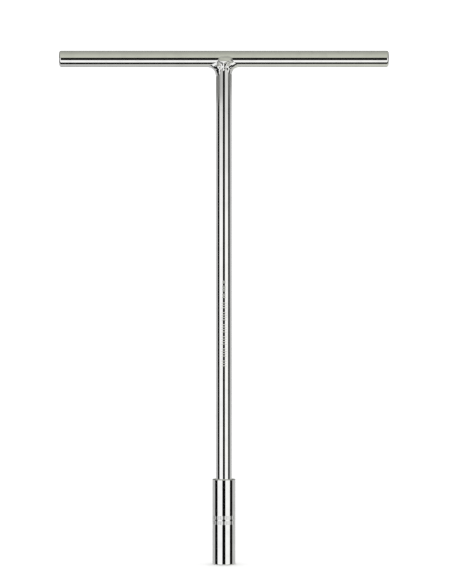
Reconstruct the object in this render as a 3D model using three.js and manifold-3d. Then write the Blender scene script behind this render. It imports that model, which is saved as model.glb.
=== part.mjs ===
// T-handle socket wrench: a round cross bar welded across the top of a long round shank, with a
// tubular hexagon socket on the shank's lower end.
// Millimetres, +Z up along the shank, the bar along X, the origin at the centre of the socket's mouth.
import * as THREE from "three";
import { mergeVertices } from "three/addons/utils/BufferGeometryUtils.js";
import Module from "manifold-3d";

const wasm = await Module();
wasm.setup();

// Driving dimensions
const overallHeight = 319.5;
const barDiameter = 10.2;
const barLength = 205;
const barEndRounding = 1.3;
const shankDiameter = 10;
const shankEndChamfer = 0.8;
const socketDiameter = 14.5;
const socketLength = 53;
const socketEndChamfer = 0.5;
const hexAcrossFlats = 10.1; // the opening for a 10 mm hexagon, with its working clearance
const hexDepth = 14;
const hexLeadInRadius = 6;
const reliefDiameter = 10.3; // plain bore behind the hexagon, room for the end of a long bolt
const reliefDepth = 30;
const drillPointHeight = 2.4;
const shankSeatDepth = 18; // how far the shank sits in the back of the socket
const brazeClearance = 0.1; // film of braze between the shank and its seat, per side
const ringWidth = 2.4; // each of the two rolled rings round the socket
const ringDepth = 0.12;
const lowerRingHeight = 25;
const upperRingHeight = 28.2;
const weldReachLeft = 5.6; // how far the weld's toes run out from the corner, on the -X side
const weldReachRight = 3.4; // and on the +X side
const weldCapRadius = 12;
const weldGap = 0.3; // between the weld and the rods that it joins
const saddleGap = 0.3; // between the shank's saddle cut and the bar

// Worked-out dimensions
const barRadius = barDiameter / 2;
const shankRadius = shankDiameter / 2;
const socketRadius = socketDiameter / 2;
const reliefRadius = reliefDiameter / 2;
const barHeight = overallHeight - barRadius;
const seatFloor = socketLength - shankSeatDepth;
const seatRadius = shankRadius + brazeClearance;
const shankBottom = seatFloor + brazeClearance;

// Facets
const roundSides = 64;
const arcSteps = 5;
const weldSectors = 56;
const weldRings = 26;

function chrome(name, colour, roughness) {
  return new THREE.MeshStandardMaterial({ name, color: colour, roughness, metalness: 1 });
}

// A solid of revolution about +Z. The profile holds (radius, height) pairs and starts and ends on the axis.
function turned(profile, sides = roundSides) {
  const points = profile.map(([radius, height]) => new THREE.Vector2(radius, height));
  return new THREE.LatheGeometry(points, sides).rotateX(Math.PI / 2);
}

function rod(radius, bottom, top) {
  return turned([[0, bottom], [radius, bottom], [radius, top], [0, top]]);
}

// The quarter round from a flat end to the side of a rod, as (radius, height) pairs.
function roundedCorner(radius, end, rounding, direction) {
  const corner = [];
  for (let step = 0; step <= arcSteps; step += 1) {
    const angle = (step / arcSteps) * (Math.PI / 2);
    const across = radius - rounding + rounding * Math.sin(angle);
    const along = end + direction * rounding * (1 - Math.cos(angle));
    corner.push([across, along]);
  }
  return corner;
}

function toSolid(geometry) {
  const bare = geometry.clone();
  bare.deleteAttribute("normal");
  bare.deleteAttribute("uv");
  const welded = mergeVertices(bare, 1e-4);
  const vertProperties = new Float32Array(welded.attributes.position.array);
  const triVerts = new Uint32Array(welded.index.array);
  return new wasm.Manifold(new wasm.Mesh({ numProp: 3, vertProperties, triVerts }));
}

function toGeometry(solid) {
  const { vertProperties, triVerts } = solid.getMesh();
  const geometry = new THREE.BufferGeometry();
  geometry.setAttribute("position", new THREE.BufferAttribute(new Float32Array(vertProperties), 3));
  geometry.setIndex(new THREE.BufferAttribute(new Uint32Array(triVerts), 1));
  geometry.computeVertexNormals();
  return geometry;
}

function named(name, geometry, material) {
  const mesh = new THREE.Mesh(geometry, material);
  mesh.name = name;
  return mesh;
}

// A rod along X at the bar's height, thicker than the bar by a clearance: it cuts the shank and the weld.
function barCutter(clearance) {
  const length = barLength / 2;
  const cutter = rod(barRadius + clearance, -length, length).rotateY(Math.PI / 2);
  return toSolid(cutter.translate(0, 0, barHeight));
}

function handleBar() {
  const half = barLength / 2;
  const profile = [
    [0, -half],
    ...roundedCorner(barRadius, -half, barEndRounding, 1),
    ...roundedCorner(barRadius, half, barEndRounding, -1).reverse(),
    [0, half],
  ];
  const geometry = turned(profile).rotateY(Math.PI / 2).translate(0, 0, barHeight);
  return named("handle_bar", geometry, chrome("bar_chrome", "#d6d7d2", 0.07));
}

// A plain rod, chamfered at the seat, with its top cut to a saddle that the bar lies in.
function shank() {
  const blank = turned([
    [0, shankBottom],
    [shankRadius - shankEndChamfer, shankBottom],
    [shankRadius, shankBottom + shankEndChamfer],
    [shankRadius, barHeight],
    [0, barHeight],
  ]);
  const saddled = toSolid(blank).subtract(barCutter(saddleGap));
  return named("shank", toGeometry(saddled), chrome("shank_chrome", "#d9dad7", 0.07));
}

// One shallow rolled ring in the socket's side, as (radius, height) pairs from its lower edge up.
function rolledRing(bottom) {
  return [
    [socketRadius, bottom],
    [socketRadius - ringDepth, bottom + ringDepth],
    [socketRadius - ringDepth, bottom + ringWidth - ringDepth],
    [socketRadius, bottom + ringWidth],
  ];
}

function hexagonPrism() {
  const cornerRadius = hexAcrossFlats / 2 / Math.cos(Math.PI / 6);
  const outline = new THREE.Shape();
  for (let corner = 0; corner < 6; corner += 1) {
    const angle = (corner * Math.PI) / 3;
    const place = [cornerRadius * Math.cos(angle), cornerRadius * Math.sin(angle)];
    if (corner === 0) outline.moveTo(...place);
    else outline.lineTo(...place);
  }
  outline.closePath();
  const below = 1; // the cutter starts outside the mouth
  const prism = new THREE.ExtrudeGeometry(outline, { depth: hexDepth + below, bevelEnabled: false });
  return toSolid(prism.translate(0, 0, -below));
}

// From the drill point up the relief bore's wall, out at the mouth, up the side and down the rear seat.
function socket() {
  const leadInHeight = hexLeadInRadius - reliefRadius;
  const body = turned([
    [0, reliefDepth + drillPointHeight],
    [reliefRadius, reliefDepth],
    [reliefRadius, leadInHeight],
    [hexLeadInRadius, 0],
    [socketRadius - socketEndChamfer, 0],
    [socketRadius, socketEndChamfer],
    ...rolledRing(lowerRingHeight),
    ...rolledRing(upperRingHeight),
    [socketRadius, socketLength - socketEndChamfer],
    [socketRadius - socketEndChamfer, socketLength],
    [seatRadius, socketLength],
    [seatRadius, seatFloor],
    [0, seatFloor],
  ]);
  const broached = toSolid(body).subtract(hexagonPrism());
  return named("socket", toGeometry(broached), chrome("socket_chrome", "#d4d5d3", 0.09));
}

// Distance to the weld's surface, negative inside. It is the smooth union of the bar and of a shank with
// a ball top, and the blend fades out over the bar's upper half, where no weld metal runs.
function weldDistance(x, y, z) {
  const up = z - barHeight;
  const toBar = Math.hypot(y, up) - barRadius;
  const toShank = Math.hypot(x, y, Math.max(up, 0)) - shankRadius;
  const side = THREE.MathUtils.smoothstep(x, -shankRadius, shankRadius);
  const fade = 1 - THREE.MathUtils.smoothstep(up, -1, barRadius * 0.75);
  const reach = THREE.MathUtils.lerp(weldReachLeft, weldReachRight, side) * fade + 0.01;
  const overlap = Math.max(reach - Math.abs(toBar - toShank), 0) / reach;
  return Math.min(toBar, toShank) - (overlap * overlap * reach) / 4;
}

// How far the weld's surface is from the middle of the joint, along a direction, up to the cap.
function weldRadius(centre, direction) {
  let inside = 0;
  let outside = weldCapRadius;
  const at = (distance) => weldDistance(
    direction.x * distance,
    direction.y * distance,
    centre + direction.z * distance,
  );
  if (at(outside) < 0) return outside;
  for (let halving = 0; halving < 24; halving += 1) {
    const middle = (inside + outside) / 2;
    if (at(middle) < 0) inside = middle;
    else outside = middle;
  }
  return inside;
}

// The weld metal before the rods are cut out of it: a ball-like solid about the middle of the joint.
function weldBlank() {
  const centre = barHeight - barRadius * 0.6;
  const positions = [0, 0, centre - weldCapRadius];
  const index = [];
  for (let ring = 1; ring < weldRings; ring += 1) {
    const polar = (ring / weldRings) * Math.PI;
    for (let sector = 0; sector < weldSectors; sector += 1) {
      const turn = (sector / weldSectors) * 2 * Math.PI;
      const direction = new THREE.Vector3(
        Math.sin(polar) * Math.cos(turn),
        Math.sin(polar) * Math.sin(turn),
        -Math.cos(polar),
      );
      const radius = weldRadius(centre, direction);
      positions.push(direction.x * radius, direction.y * radius, centre + direction.z * radius);
    }
  }
  positions.push(0, 0, barHeight + barRadius / 2);
  const last = positions.length / 3 - 1;
  const vertex = (ring, sector) => 1 + (ring - 1) * weldSectors + (sector % weldSectors);
  for (let sector = 0; sector < weldSectors; sector += 1) {
    index.push(0, vertex(1, sector + 1), vertex(1, sector));
    index.push(last, vertex(weldRings - 1, sector), vertex(weldRings - 1, sector + 1));
    for (let ring = 1; ring < weldRings - 1; ring += 1) {
      index.push(vertex(ring, sector), vertex(ring, sector + 1), vertex(ring + 1, sector + 1));
      index.push(vertex(ring, sector), vertex(ring + 1, sector + 1), vertex(ring + 1, sector));
    }
  }
  const geometry = new THREE.BufferGeometry();
  geometry.setAttribute("position", new THREE.Float32BufferAttribute(positions, 3));
  geometry.setIndex(index);
  return geometry;
}

function weldFillet() {
  const shankCutter = toSolid(rod(shankRadius + weldGap, barHeight - 2 * weldCapRadius, barHeight));
  const bead = toSolid(weldBlank()).subtract(barCutter(weldGap)).subtract(shankCutter);
  return named("weld_fillet", toGeometry(bead), chrome("weld_chrome", "#cfd0cc", 0.12));
}

const wrench = new THREE.Group();
wrench.add(handleBar(), weldFillet(), shank(), socket());

export default wrench;
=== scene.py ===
"""The looks of a chrome-plated T-handle socket wrench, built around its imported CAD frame.

Metres, +Z up the shank, the cross bar along X. The camera looks along +Y.
"""

import math
from types import SimpleNamespace

import bpy
import numpy as np
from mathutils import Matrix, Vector, noise


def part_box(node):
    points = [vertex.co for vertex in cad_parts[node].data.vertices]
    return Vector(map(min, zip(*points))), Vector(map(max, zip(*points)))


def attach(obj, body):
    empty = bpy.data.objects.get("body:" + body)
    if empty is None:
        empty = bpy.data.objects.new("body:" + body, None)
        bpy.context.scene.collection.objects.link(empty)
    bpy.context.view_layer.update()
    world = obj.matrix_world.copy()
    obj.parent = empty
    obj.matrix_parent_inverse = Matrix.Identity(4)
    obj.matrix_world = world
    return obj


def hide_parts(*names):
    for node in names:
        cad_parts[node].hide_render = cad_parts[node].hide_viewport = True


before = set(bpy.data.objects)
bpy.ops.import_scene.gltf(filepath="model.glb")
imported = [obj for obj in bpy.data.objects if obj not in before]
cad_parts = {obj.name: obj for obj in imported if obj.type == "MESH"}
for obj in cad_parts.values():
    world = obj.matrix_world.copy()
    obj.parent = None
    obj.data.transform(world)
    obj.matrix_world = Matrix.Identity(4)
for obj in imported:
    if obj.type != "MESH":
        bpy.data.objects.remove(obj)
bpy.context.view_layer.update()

MM = 0.001
TINY = 1e-9

# Sizes from the frame
bar_low, bar_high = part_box("handle_bar")
shank_low, shank_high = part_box("shank")
socket_low, socket_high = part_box("socket")
bar_radius = (bar_high.z - bar_low.z) / 2
bar_height = (bar_high.z + bar_low.z) / 2
bar_half = bar_high.x
shank_radius = shank_high.x
shank_bottom = shank_low.z
socket_radius = socket_high.x
socket_top = socket_high.z

# Sizes that the frame's boxes don't give
BAR_END_ROUNDING = 1.3 * MM
SHANK_CHAMFER = 0.8 * MM
MOUTH_EDGE = 0.5 * MM
BACK_EDGE = 0.3 * MM
HEX_FLAT = 5.05 * MM  # from the axis to a flat of the hexagon
HEX_DEPTH = 14 * MM
LEAD_IN_RADIUS = 6 * MM
LEAD_IN_STEP = 0.1 * MM
LEAD_IN_STEPS = 11  # enough to reach past the cone's end
RELIEF_RADIUS = 5.15 * MM
RELIEF_DEPTH = 30 * MM
DRILL_POINT = 2.4 * MM
SEAT_DEPTH = 18 * MM
BRAZE_FILM = 0.02 * MM
BRAZE_FILLET = 0.3 * MM
RING_WIDTH = 2.4 * MM
RING_HEIGHTS = (25 * MM, 28.2 * MM)
RING_SLOPE = 0.1 * MM
KNURL_DEPTH = 0.055 * MM
HOLD = 0.05 * MM  # an extra ring of points this close to an arc keeps the flat beside it flat

# The meshes' sides round each rod, and round and over the weld
BAR_SIDES = 128
SHANK_SIDES = 120
SOCKET_SIDES = 288
KNURL_EVERY = 8  # one groove in this many of the socket's sides
WELD_SECTORS = 200
WELD_LEVELS = 130
HALVINGS = 26  # of the weld's cap, to find its surface to far less than a micrometre

# Two rows of plain stamped bars on the shank's front.
# Each row is given as its lowest and highest bar, its pitch and half a bar's length.
MARK_DEPTH = 0.07 * MM
MARK_TALL = 0.42 * MM
MARK_SLOPE = 0.1 * MM  # of a bar's long edges
END_SLOPE = 0.15 * MM  # half the slope at its ends
FINE_MARKS = (166.0 * MM, 176.6 * MM, 1.0 * MM, 0.9 * MM)
WIDE_MARKS = (123.6 * MM, 163.2 * MM, 1.5 * MM, 1.7 * MM)

# The weld. Its fillet runs out this far from the corner between the rods, on the -X and +X sides
WELD_LEFT = 7.0 * MM
WELD_RIGHT = 5.6 * MM
LEFT_BY_DOME = 0.06  # the share of each reach that it still has beside the dome
RIGHT_BY_DOME = 0.4
SHORTER_IN_FRONT = 0.68  # the share of both that it loses in the middle of the front and back
WELD_CAP = 12 * MM  # its mesh ends this far from the middle of the joint, inside the rods
BEAD_THICKNESS = 0.15 * MM  # how far it stands proud of the bar's front just inside its toe
# Its collar, a ground dome over a narrow keel, front and back
COLLAR_TOP = 0.9 * MM  # height over the bar's axis
COLLAR_RIDGE = -1.9 * MM  # height of its deepest place, from the bar's axis
COLLAR_DEPTH = 6.9 * MM  # from the shank's axis to the ridge
COLLAR_WIDTH = 5.0 * MM  # half of it, from side to side
COLLAR_SHIFT = 0.8 * MM  # the dome lies this far towards +X
COLLAR_BLEND = 0.85 * MM
# Its level section is a superellipse, boxy in the dome and pointed in the keel
DOME_POWER = 4.0
KEEL_POWER = 1.3
# In mm: how much shallower it is at a height over the ridge, and wider at a height over the bar's axis
SHALLOWER = ((-9, 2.73), (-1.5, 0.63), (0, 0), (5, 2.25))
WIDER = ((-9, -1.5), (-7, -0.6), (-3, 0.3), (0, -0.3), (2, -1.2))
# The grinder's soft lumps: their sizes, and the stretch of the noise that they come from
COARSE_LUMPS = 2.4 * MM
FINE_LUMPS = 1.2 * MM
LUMP_PLACE = Vector((2.9, 3.3, 0.7))
# Their heights everywhere, how much higher they are on the flanks, and the share lost on the keel
COARSE_HEIGHT = 0.24 * MM
COARSE_ON_FLANKS = 0.12 * MM
FINE_HEIGHT = 0.04 * MM
FINE_ON_FLANKS = 0.14 * MM
SMOOTHER_KEEL = 0.75

# Features per metre in the textures, and for the grinding lines along X, Y and Z
RIPPLE_SCALE = 55.0
HAZE_SCALE = 160.0
STAIN_SCALE = 260.0
LUMP_SCALE = 330.0
LATHE_SCALE = 700.0
SPECK_SCALE = 1400.0
BAR_GRAIN = (2400.0, 160.0, 160.0)
SHANK_GRAIN = (160.0, 160.0, 2400.0)
SOCKET_GRAIN = (160.0, 160.0, 2600.0)
WELD_GRAIN = (420.0, 900.0, 700.0)
BROACH_GRAIN = (2600.0, 2600.0, 90.0)

# The gap at each side of the studio: how many degrees off the front its middle is, how many fewer
# that is straight down, and its edges as shares of it
GAP_LEFT = 82.5
GAP_RIGHT = 78.5
GAP_LEAN = 11.0
GAP_NEAR = 0.795
GAP_FAR = 1.205
EDGE_SOFTNESS = 0.01


# ---------------------------------------------------------------- mesh helpers

def link(obj):
    bpy.context.scene.collection.objects.link(obj)
    return obj


def skin(name, rings, material):
    """A closed, smooth-shaded mesh through rings of points. A ring of one point is a pole."""
    starts = np.cumsum([0] + [len(ring) for ring in rings])
    points = np.vstack(rings)
    faces = []
    for k in range(len(rings) - 1):
        lower, upper = rings[k], rings[k + 1]
        a, b = int(starts[k]), int(starts[k + 1])
        sides = max(len(lower), len(upper))
        for i in range(sides):
            j = (i + 1) % sides
            if len(lower) == 1:
                faces.append((a, b + j, b + i))
            elif len(upper) == 1:
                faces.append((a + i, a + j, b))
            else:
                faces.append((a + i, a + j, b + j, b + i))
    mesh = bpy.data.meshes.new(name)
    mesh.from_pydata(points.tolist(), [], faces)
    mesh.validate()
    for polygon in mesh.polygons:
        polygon.use_smooth = True
    mesh.materials.append(material)
    return link(bpy.data.objects.new(name, mesh))


def rounded(corners, steps=7):
    """(radius, height) points along an outline through corners, (radius, height, rounding).

    Each corner between the first and the last is an arc of its rounding's radius.
    """
    points = [np.array(corners[0][:2])]
    for before, corner, after in zip(corners, corners[1:], corners[2:]):
        here = np.array(corner[:2])
        back = np.array(before[:2]) - here
        ahead = np.array(after[:2]) - here
        back /= np.linalg.norm(back)
        ahead /= np.linalg.norm(ahead)
        opening = math.acos(float(np.clip(back @ ahead, -1, 1)))
        reach = corner[2] / math.tan(opening / 2)
        middle = back + ahead
        centre = here + middle / np.linalg.norm(middle) * corner[2] / math.sin(opening / 2)
        start = here + back * reach
        end = here + ahead * reach
        points.append(start + back * HOLD)
        for step in range(steps + 1):
            spoke = start + (end - start) * step / steps - centre
            points.append(centre + spoke / np.linalg.norm(spoke) * corner[2])
        points.append(end + ahead * HOLD)
    points.append(np.array(corners[-1][:2]))
    return points


def circle(radius, height, sides):
    """A ring of points about Z. Radius and height may each be one value, or one value per side.

    A radius of 0 gives a ring of one point.
    """
    angles = np.arange(sides) * 2 * math.pi / sides
    if np.ndim(radius) == 0 and radius < TINY:
        return np.array([[0.0, 0.0, float(np.mean(height))]])
    ring = np.zeros((sides, 3))
    ring[:, 0] = radius * np.cos(angles)
    ring[:, 1] = radius * np.sin(angles)
    ring[:, 2] = height
    return ring


def smooth(value, low, high):
    """0 up to low, 1 from high on, and eased between."""
    share = np.clip((value - low) / (high - low), 0, 1)
    return share * share * (3 - 2 * share)


# ---------------------------------------------------------------- node helpers

class Nodes:
    """Short names for the shader nodes that the materials and the studio share."""

    def __init__(self, tree):
        self.tree = tree
        tree.nodes.clear()

    def new(self, kind, inputs=None, **settings):
        node = self.tree.nodes.new(kind)
        for key, value in settings.items():
            setattr(node, key, value)
        for key, value in (inputs or {}).items():
            self.feed(node.inputs[key], value)
        return node

    def feed(self, socket, value):
        if isinstance(value, bpy.types.NodeSocket):
            self.tree.links.new(value, socket)
        else:
            socket.default_value = value

    def math(self, operation, first, second=0.0):
        node = self.new("ShaderNodeMath", {0: first, 1: second}, operation=operation)
        return node.outputs[0]

    def ramp(self, value, low, high, to_low=0.0, to_high=1.0):
        """value eased from to_low at low to to_high at high."""
        node = self.new(
            "ShaderNodeMapRange",
            {"Value": value, "From Min": low, "From Max": high, "To Min": to_low, "To Max": to_high},
            interpolation_type="SMOOTHSTEP",
        )
        return node.outputs["Result"]

    def past(self, value, limit):
        """0 below limit and 1 over it, with a narrow soft edge."""
        return self.ramp(value, limit - EDGE_SOFTNESS, limit + EDGE_SOFTNESS)

    def within(self, value, limit):
        """1 where value is between -limit and limit and 0 outside, with narrow soft edges."""
        size = self.math("ABSOLUTE", value)
        return self.ramp(size, limit - EDGE_SOFTNESS, limit + EDGE_SOFTNESS, 1.0, 0.0)

    def product(self, first, *others):
        for other in others:
            first = self.math("MULTIPLY", first, other)
        return first

    def mix(self, share, first, second):
        node = self.new("ShaderNodeMix", data_type="RGBA")
        self.feed(node.inputs[0], share)
        self.feed(node.inputs[6], first)
        self.feed(node.inputs[7], second)
        return node.outputs[2]

    def noise(self, vector, scale, detail=2.0, roughness=0.5):
        inputs = {"Vector": vector, "Scale": scale, "Detail": detail, "Roughness": roughness}
        return self.new("ShaderNodeTexNoise", inputs).outputs["Fac"]

    def stretched(self, vector, scale):
        return self.new("ShaderNodeMapping", {"Vector": vector, "Scale": scale}).outputs["Vector"]

    def bump(self, height, depth, normal=None):
        inputs = {"Height": height, "Distance": depth, "Strength": 1.0}
        if normal is not None:
            inputs["Normal"] = normal
        return self.new("ShaderNodeBump", inputs).outputs["Normal"]

    def surface(self, inputs):
        """A Principled shader with these inputs, as the tree's surface."""
        shader = self.new("ShaderNodeBsdfPrincipled", inputs)
        output = self.new("ShaderNodeOutputMaterial")
        self.tree.links.new(shader.outputs[0], output.inputs["Surface"])


# ---------------------------------------------------------------- materials

def new_material(name):
    """A new material and the nodes of its empty tree."""
    material = bpy.data.materials.new(name)
    material.use_nodes = True
    return material, Nodes(material.node_tree)


def opaque(colour, share=1.0):
    """An RGBA colour from an RGB one, dimmed to a share of it."""
    return tuple(share * value for value in colour) + (1.0,)


def chrome(name, tint, roughness, grain, ripple=0.006 * MM, lumps=0.0, turned_end=None):
    """Bright chrome plate: mirror-like, with a faint polishing ripple, grinding grain and tiny specks.

    ripple and lumps are heights. turned_end is the middle of the end face of a rod along X: both its
    ends are duller, with fine rings from the lathe.
    """
    material, n = new_material(name)
    place = n.new("ShaderNodeTexCoord").outputs["Object"]
    soft = n.noise(place, RIPPLE_SCALE, 1.0)
    lines = n.noise(n.stretched(place, grain), 1.0, 3.0, 0.6)
    specks = n.noise(place, SPECK_SCALE, 2.0, 0.7)
    haze = n.noise(place, HAZE_SCALE, 3.0, 0.6)
    cloudy = n.ramp(haze, 0.35, 0.7, roughness * 0.6, roughness * 1.5)
    rough = n.math("ADD", cloudy, n.ramp(lines, 0.45, 0.8, 0.0, roughness * 0.5))
    plate = n.mix(n.ramp(haze, 0.4, 0.75), opaque(tint), opaque(tint, 0.93))
    colour = n.mix(n.ramp(specks, 0.74, 0.8), plate, opaque(tint, 0.7))
    normal = n.bump(soft, ripple)
    if lumps:
        normal = n.bump(n.noise(place, LUMP_SCALE, 2.0, 0.45), lumps, normal)
    normal = n.bump(lines, 0.00025 * MM, normal)
    if turned_end:
        centred = n.new("ShaderNodeMapping", {"Vector": place, "Location": (0, 0, -turned_end.z)})
        outward = n.math("ABSOLUTE", n.new("ShaderNodeSeparateXYZ", {"Vector": place}).outputs["X"])
        cut = n.ramp(outward, turned_end.x - 0.3 * MM, turned_end.x - 0.05 * MM)
        rings = n.new(
            "ShaderNodeTexWave",
            {
                "Vector": centred.outputs["Vector"],
                "Scale": LATHE_SCALE,
                "Distortion": 1.0,
                "Detail Scale": 2.0,
            },
            wave_type="RINGS",
            rings_direction="X",
        )
        rough = n.math("ADD", rough, n.product(cut, 0.2))
        normal = n.bump(n.product(rings.outputs["Fac"], cut), 0.006 * MM, normal)
    n.surface({"Base Color": colour, "Metallic": 1.0, "Roughness": rough, "Normal": normal})
    return material


def bore_steel():
    """The socket's inside: dull plated steel with marks along the broach's travel."""
    material, n = new_material("bore_steel")
    place = n.new("ShaderNodeTexCoord").outputs["Object"]
    strokes = n.noise(n.stretched(place, BROACH_GRAIN), 1.0, 3.0, 0.6)
    stains = n.noise(place, STAIN_SCALE, 3.0, 0.6)
    steel = opaque((0.42, 0.42, 0.41))
    oily = opaque((0.22, 0.21, 0.195))
    colour = n.mix(n.ramp(stains, 0.35, 0.7), steel, oily)
    n.surface({
        "Base Color": colour,
        "Metallic": 1.0,
        "Roughness": n.ramp(strokes, 0.3, 0.75, 0.28, 0.5),
        "Normal": n.bump(strokes, 0.006 * MM),
    })
    return material


# ---------------------------------------------------------------- pieces

def handle_bar():
    """The cross bar, turned about Z and laid along X."""
    outline = rounded([
        (0, -bar_half, 0),
        (bar_radius, -bar_half, BAR_END_ROUNDING),
        (bar_radius, bar_half, BAR_END_ROUNDING),
        (0, bar_half, 0),
    ])
    rings = []
    for radius, along in outline:
        upright = circle(radius, along, BAR_SIDES)
        rings.append(np.column_stack([upright[:, 2], upright[:, 1], bar_height - upright[:, 0]]))
    tint = (0.87, 0.87, 0.86)
    end = Vector((bar_half, 0, bar_height))
    material = chrome("bar_chrome", tint, 0.035, BAR_GRAIN, turned_end=end)
    return skin("cross_bar", rings, material)


def stamped_bars():
    """(height, half length) of each stamped bar, from the lowest up, with a repeating plain rhythm."""
    bars = []
    for low, high, pitch, half_wide in (WIDE_MARKS, FINE_MARKS):
        for k in range(int((high - low) / pitch) + 1):
            if k % 5 != 3:
                bars.append((low + k * pitch, half_wide * (1.0, 0.8, 0.9)[k % 3]))
    return bars


def stamped(height, cut):
    """Rings of points past one stamped bar, with how deep it is cut at each side of the shank."""
    half_tall = MARK_TALL / 2
    outline = (
        (shank_radius, -half_tall - HOLD),
        (shank_radius, -half_tall),
        (shank_radius - cut, -half_tall + MARK_SLOPE),
        (shank_radius - cut, half_tall - MARK_SLOPE),
        (shank_radius, half_tall),
        (shank_radius, half_tall + HOLD),
    )
    return [circle(radius, height + up, SHANK_SIDES) for radius, up in outline]


def shank():
    """The long rod, from its chamfer in the socket's seat up to the saddle under the bar."""
    sides = SHANK_SIDES
    angles = np.arange(sides) * 2 * math.pi / sides
    from_front = np.abs(angles - 1.5 * math.pi) * shank_radius  # round the surface, from the -Y side
    outline = rounded([
        (0, shank_bottom, 0),
        (shank_radius - SHANK_CHAMFER, shank_bottom, 0.1 * MM),
        (shank_radius, shank_bottom + SHANK_CHAMFER, 0.1 * MM),
        (shank_radius, WIDE_MARKS[0], 0),
    ], steps=3)
    rings = [circle(radius, height, sides) for radius, height in outline[:-1]]
    for height, half_wide in stamped_bars():
        inside = 1 - smooth(from_front, half_wide - END_SLOPE, half_wide + END_SLOPE)
        rings += stamped(height, MARK_DEPTH * inside)
    rings.append(circle(shank_radius, bar_height - bar_radius - 2 * MM, sides))
    for share in (1.0, 0.98, 0.75, 0.5, 0.25):
        radius = shank_radius * share
        saddle = bar_height - np.sqrt(bar_radius**2 - (radius * np.sin(angles)) ** 2)
        rings.append(circle(radius, saddle, sides))
    rings.append(circle(0, bar_height - bar_radius, sides))
    tint = (0.87, 0.87, 0.865)
    return skin("long_shank", rings, chrome("shank_chrome", tint, 0.03, SHANK_GRAIN))


def hexagon(sides):
    """The distance from the axis to the hexagon's wall, at each side of a ring. Two flats face Y."""
    angles = np.arange(sides) * 2 * math.pi / sides
    return HEX_FLAT / np.cos(angles % (math.pi / 3) - math.pi / 6)


def bore(sides):
    """Rings of points from the drill point down the relief bore and the hexagon to the mouth."""
    wall = np.maximum(hexagon(sides), RELIEF_RADIUS)
    rings = [
        circle(0, RELIEF_DEPTH + DRILL_POINT, sides),
        circle(RELIEF_RADIUS, RELIEF_DEPTH, sides),
        circle(RELIEF_RADIUS, RELIEF_DEPTH - HOLD, sides),
        circle(RELIEF_RADIUS, HEX_DEPTH + HOLD, sides),
        circle(RELIEF_RADIUS, HEX_DEPTH, sides),
        circle(wall, HEX_DEPTH - HOLD, sides),
        circle(wall, HEX_DEPTH - 2 * HOLD, sides),
    ]
    for step in range(LEAD_IN_STEPS, -1, -1):
        height = step * LEAD_IN_STEP
        rings.append(circle(np.maximum(wall, LEAD_IN_RADIUS - height), height, sides))
    return rings


def knurled(bottom, groove, sides):
    """Rings of points up one knurled ring of the socket, with its grooves' depth at each side."""
    outline = (
        (socket_radius, -HOLD),
        (socket_radius, 0),
        (socket_radius - groove, RING_SLOPE),
        (socket_radius - groove, RING_WIDTH - RING_SLOPE),
        (socket_radius, RING_WIDTH),
        (socket_radius, RING_WIDTH + HOLD),
    )
    return [circle(radius, bottom + up, sides) for radius, up in outline]


def back_end(sides):
    """Rings of points over the socket's back edge and the braze fillet, and down into the seat."""
    seat_radius = shank_radius + BRAZE_FILM
    seat_floor = socket_top - SEAT_DEPTH
    outline = rounded([
        (socket_radius, socket_top - 2 * MM, 0),
        (socket_radius, socket_top - BACK_EDGE, 0.15 * MM),
        (socket_radius - BACK_EDGE, socket_top, 0.1 * MM),
        (seat_radius + BRAZE_FILLET, socket_top, 0.2 * MM),
        (seat_radius, socket_top + BRAZE_FILLET, 0.05 * MM),
        (seat_radius, seat_floor, 0.05 * MM),
        (0, seat_floor, 0),
    ], steps=4)
    return [circle(radius, height, sides) for radius, height in outline[1:]]


def socket():
    """The socket, from the drill point down the bore, out at the mouth, up the side, into the seat."""
    sides = SOCKET_SIDES
    rings = bore(sides)
    mouth = len(rings) - 1  # the last ring of the bore
    side = rounded([
        (LEAD_IN_RADIUS, 0, 0),
        (socket_radius - MOUTH_EDGE, 0, 0.12 * MM),
        (socket_radius, MOUTH_EDGE, 0.3 * MM),
        (socket_radius, RING_HEIGHTS[0] - 1 * MM, 0),
    ], steps=4)
    rings += [circle(radius, height, sides) for radius, height in side[1:]]
    wear = np.random.default_rng(4).uniform(0.7, 1.2, sides)
    groove = (np.arange(sides) % KNURL_EVERY == KNURL_EVERY // 2) * KNURL_DEPTH * wear
    sharp = set()  # the rings that flat-shaded faces start from
    for bottom in RING_HEIGHTS:
        edge = len(rings) + 1
        sharp.update(range(edge, edge + 3))
        rings += knurled(bottom, groove, sides)
    rings += back_end(sides)
    tint = (0.87, 0.87, 0.865)
    piece = skin("hex_socket", rings, chrome("socket_chrome", tint, 0.04, SOCKET_GRAIN))
    piece.data.materials.append(bore_steel())
    for polygon in piece.data.polygons:
        ring = (min(polygon.vertices) - 1) // sides + 1  # the first of the two rings that it joins
        polygon.material_index = int(ring < mouth)
        polygon.use_smooth = ring not in sharp
    return piece


# ---------------------------------------------------------------- the weld

def blended(first, second, reach):
    """The smooth union of two distances: within reach of each other they merge into a fillet."""
    overlap = np.maximum(reach - np.abs(first - second), 0) / reach
    return np.minimum(first, second) - overlap**2 * reach / 4


def in_mm(length, table):
    """A length read from a table of millimetres, by another length."""
    return np.interp(length / MM, *zip(*table)) * MM


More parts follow.
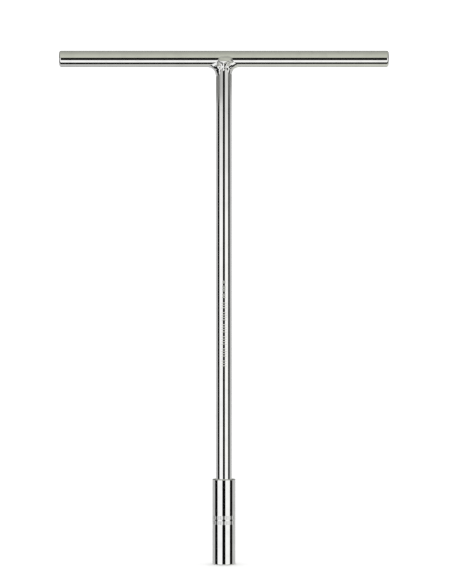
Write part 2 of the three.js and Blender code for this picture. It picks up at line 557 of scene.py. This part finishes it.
def collar_distance(x, y, up):
    """Distance to the collar: a slope ground above its ridge, a keel under it, and a steep top edge."""
    bar_front = np.sqrt(np.maximum(bar_radius**2 - up**2, 0))
    ground = COLLAR_DEPTH - in_mm(up - COLLAR_RIDGE, SHALLOWER)
    top_edge = bar_front + 1.2 * (COLLAR_TOP - up)
    depth = np.maximum(np.minimum(ground, top_edge), 1 * MM)
    width = COLLAR_WIDTH + in_mm(up, WIDER)
    keel = 1 - smooth(up, COLLAR_RIDGE - 1.7 * MM, COLLAR_RIDGE)
    power = DOME_POWER + (KEEL_POWER - DOME_POWER) * keel
    sideways = x - COLLAR_SHIFT * (1 - 1.2 * keel)  # the keel lies a little towards -X instead
    across = (np.abs(sideways) / width) ** power + (np.abs(y) / depth) ** power
    return np.maximum(across ** (1 / power) * depth - depth, up - COLLAR_TOP - 0.3 * MM)


def beside(x):
    """0 in the middle of the joint, and 1 away from it on either side."""
    return smooth(np.abs(x), 0.8 * MM, 3.2 * MM)


def fillet_reach(x, y, up):
    """How far the fillet runs out from the corner: furthest under the bar, and nowhere on its top."""
    under = 1 - smooth(up, -6.5 * MM, -1 * MM)
    fade = 1 - smooth(up, 0, 2.6 * MM)
    left = WELD_LEFT * (LEFT_BY_DOME + (1 - LEFT_BY_DOME) * under)
    right = WELD_RIGHT * (RIGHT_BY_DOME + (1 - RIGHT_BY_DOME) * under)
    side = smooth(x, -shank_radius, shank_radius)
    middle = (1 - beside(x)) * smooth(np.abs(y), 2 * MM, 4.5 * MM)
    reach = (left + (right - left) * side) * fade * (1 - SHORTER_IN_FRONT * middle)
    return reach + 0.01 * MM  # never 0, because it is divided by


def weld_distance(points):
    """Distance to the ground weld's surface, negative inside, and how much weld metal there is.

    Past the fillet's toes the surface sinks into the rods, so only the bead shows.
    """
    x, y, up = points[:, 0], points[:, 1], points[:, 2] - bar_height
    to_bar = np.hypot(y, up) - bar_radius
    to_shank = np.sqrt(x**2 + y**2 + np.maximum(up, 0) ** 2) - shank_radius
    reach = fillet_reach(x, y, up)
    apart = np.abs(to_bar - to_shank)
    sunk = 0.03 * MM + 0.5 * np.clip(apart - reach, 0, 1 * MM)
    on_front = smooth(np.abs(y), 1.5 * MM, 4 * MM) * smooth(up, -9 * MM, -5 * MM) * beside(x)
    proud = BEAD_THICKNESS * smooth(1 - apart / reach, 0, 0.3) * on_front
    fillet = blended(to_bar, to_shank, reach) + sunk - proud
    surface = blended(fillet, collar_distance(x, y, up), COLLAR_BLEND)
    metal = np.clip((np.minimum(to_bar, to_shank) - surface) / (0.5 * MM), 0, 1)
    return surface, metal


def lump(point):
    """How far the lumps stand out at a point. They are least on the keel and most on the flanks."""
    coarse = noise.noise(point / COARSE_LUMPS + LUMP_PLACE)
    fine = noise.noise(point / FINE_LUMPS + LUMP_PLACE)
    outer = min(max(abs(point.x) - 0.8 * MM, 0.0) / (1.5 * MM), 1.0)
    under = min(max(bar_height - 1.6 * MM - point.z, 0.0) / (1.5 * MM), 1.0)
    flank = outer * under
    keel = (1 - outer) * under
    coarse *= COARSE_HEIGHT * (1 - SMOOTHER_KEEL * keel) + COARSE_ON_FLANKS * flank
    fine *= FINE_HEIGHT + FINE_ON_FLANKS * flank
    return coarse + fine


def on_surface(centre, directions):
    """The points where the weld's surface is in each direction from a point inside it."""
    inside = np.zeros(len(directions))
    outside = np.full(len(directions), WELD_CAP)
    for _ in range(HALVINGS):
        middle = (inside + outside) / 2
        within = weld_distance(centre + directions * middle[:, None])[0] < 0
        inside = np.where(within, middle, inside)
        outside = np.where(within, outside, middle)
    return centre + directions * inside[:, None]


def weld_fillet():
    """The weld bead, ground by hand: a blend between the rods with soft uneven lumps."""
    centre = np.array([0, 0, bar_height - 0.6 * bar_radius])
    rings = []
    for level in range(WELD_LEVELS + 1):
        polar = math.pi * level / WELD_LEVELS
        sectors = WELD_SECTORS if 0 < level < WELD_LEVELS else 1
        turns = np.arange(sectors) * 2 * math.pi / WELD_SECTORS
        directions = np.column_stack([
            math.sin(polar) * np.cos(turns),
            math.sin(polar) * np.sin(turns),
            np.full(len(turns), -math.cos(polar)),
        ])
        points = on_surface(centre, directions)
        metal = weld_distance(points)[1]
        for k, point in enumerate(points):
            points[k] += directions[k] * lump(Vector(point)) * metal[k]
        rings.append(points)
    material = chrome("weld_chrome", (0.86, 0.86, 0.85), 0.045, WELD_GRAIN, 0.008 * MM, 0.02 * MM)
    return skin("weld_bead", rings, material)


# ---------------------------------------------------------------- studio

BLACK = opaque((0.004, 0.004, 0.004))


def tent_walls(n, look):
    """A white wall in front, dark gaps at its sides, and grey past them with a white panel behind.

    The panel has a dark gap of its own.
    """
    white = opaque((1.07, 1.07, 1.07))
    cream = opaque((1.07, 1.07, 1.05))
    dim = opaque((0.74, 0.74, 0.72))
    surround = opaque((0.56, 0.56, 0.56))
    warm_surround = opaque((0.63, 0.64, 0.57))
    level_middle = n.ramp(look.right, 0.0, 1.0, GAP_LEFT, GAP_RIGHT)
    middle = n.math("SUBTRACT", level_middle, n.product(look.downward, GAP_LEAN))
    ratio = n.math("DIVIDE", look.off_axis, middle)
    front_panel = n.mix(n.ramp(look.height, 0.02, 0.092), n.mix(look.right, white, cream), dim)
    walls = n.mix(n.past(ratio, GAP_NEAR), front_panel, BLACK)
    warmth = n.product(look.right, look.downward)
    walls = n.mix(n.past(ratio, GAP_FAR), walls, n.mix(warmth, surround, warm_surround))
    behind = n.product(n.ramp(look.front, -0.1, 0.0, 1.0, 0.0), n.past(look.height, -0.44))
    back_panel = n.product(behind, n.within(look.across, 0.49))
    back_gap = n.product(behind, n.within(look.across, 0.2))
    return n.mix(back_gap, n.mix(back_panel, walls, white), BLACK)


def tent_top(n, look):
    """An olive top that darkens towards the back, and neutral grey at its sides."""
    pale_olive = opaque((0.6, 0.615, 0.53))
    olive = opaque((0.405, 0.415, 0.37))
    dark_olive = opaque((0.2, 0.205, 0.19))
    over = n.mix(n.ramp(look.off_axis, 20.0, 110.0), pale_olive, olive)
    over = n.mix(n.ramp(look.off_axis, 110.0, 160.0), over, dark_olive)
    pale_grey = opaque((0.56, 0.56, 0.55))
    dark_grey = opaque((0.23, 0.23, 0.22))
    back_grey = opaque((0.36, 0.36, 0.35))
    sides = n.mix(n.ramp(look.off_axis, 40.0, 75.0), pale_grey, dark_grey)
    sides = n.mix(n.ramp(look.off_axis, 110.0, 150.0), sides, back_grey)
    upward = n.ramp(n.math("DIVIDE", look.height, look.flat), 0.35, 0.9)
    return n.mix(upward, sides, over)


def above_walls(n, look):
    """1 above the walls' upper edge, which is a little higher and softer on the right."""
    ahead_right = n.product(look.right, n.ramp(look.off_axis, 55.0, 75.0, 1.0, 0.0))
    edge = n.math("ADD", n.ramp(look.right, 0.0, 1.0, 0.0735, 0.077), n.product(ahead_right, 0.02))
    softness = n.ramp(look.right, 0.0, 1.0, 0.004, 0.009)
    return n.ramp(n.math("DIVIDE", n.math("SUBTRACT", look.height, edge), softness), -1.0, 1.0)


def studio_world():
    """A white tent with an olive-grey top, dark gaps in its walls and a dark opening in front.

    It depends on direction alone. The camera and diffuse light see plain white.
    """
    world = bpy.data.worlds.new("studio")
    bpy.context.scene.world = world
    world.use_nodes = True
    n = Nodes(world.node_tree)
    direction = n.new("ShaderNodeTexCoord").outputs["Generated"]
    parts = n.new("ShaderNodeSeparateXYZ", {"Vector": direction}).outputs
    across, height = parts["X"], parts["Z"]
    front = n.product(parts["Y"], -1.0)
    flat = n.math("SQRT", n.math("ADD", n.math("POWER", across, 2.0), n.math("POWER", height, 2.0)))
    look = SimpleNamespace(
        across=across,
        height=height,
        front=front,
        flat=flat,
        off_axis=n.product(n.math("ARCCOSINE", front), 180 / math.pi),  # degrees from the front
        downward=n.math("MAXIMUM", n.math("DIVIDE", n.product(height, -1.0), flat), 0.0),
        right=n.ramp(across, -0.1, 0.1),
    )
    tent = n.mix(above_walls(n, look), tent_walls(n, look), tent_top(n, look))
    tall = n.within(n.math("ADD", height, 0.1), 0.29)
    opening = n.product(n.within(across, 0.265), tall, n.ramp(front, 0.0, 0.1))
    seen = n.mix(opening, tent, BLACK)

    glossy = n.new("ShaderNodeLightPath").outputs["Is Glossy Ray"]
    colour = n.mix(glossy, opaque((1.25, 1.25, 1.25)), seen)
    background = n.new("ShaderNodeBackground", {"Color": colour, "Strength": 1.0})
    output = n.new("ShaderNodeOutputWorld")
    n.tree.links.new(background.outputs[0], output.inputs["Surface"])


def floor():
    """A plain pale floor under the socket's mouth, kept out of the plate's reflections."""
    reach = 6.0
    mesh = bpy.data.meshes.new("floor")
    corners = [(-reach, -reach, 0), (reach, -reach, 0), (reach, reach, 0), (-reach, reach, 0)]
    mesh.from_pydata(corners, [], [(0, 1, 2, 3)])
    material, n = new_material("pale_floor")
    n.surface({"Base Color": opaque((0.93, 0.93, 0.93)), "Roughness": 0.9})
    mesh.materials.append(material)
    plane = link(bpy.data.objects.new("floor", mesh))
    plane.visible_glossy = False


def camera():
    """Straight on and level, with a narrow margin over and under the wrench."""
    data = bpy.data.cameras.new("camera")
    distance = 1.6
    object_height = bar_high.z - socket_low.z
    picture_height = 1.1295 * object_height
    eye = Vector((1.0 * MM, -distance, 0.534 * object_height))
    data.sensor_width = 36.0
    data.lens = data.sensor_width * distance / picture_height
    data.clip_end = 100.0
    view = link(bpy.data.objects.new("camera", data))
    view.location = eye
    view.rotation_euler = (math.pi / 2, 0, 0)
    bpy.context.scene.camera = view


bpy.context.scene.view_settings.view_transform = "Standard"
studio_world()
floor()
camera()

for build, node, slot in (
    (handle_bar, "handle_bar", "bar_chrome"),
    (shank, "shank", "shank_chrome"),
    (socket, "socket", "socket_chrome"),
    (weld_fillet, "weld_fillet", "weld_chrome"),
):
    piece = build()
    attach(piece, "root")
    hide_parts(node)
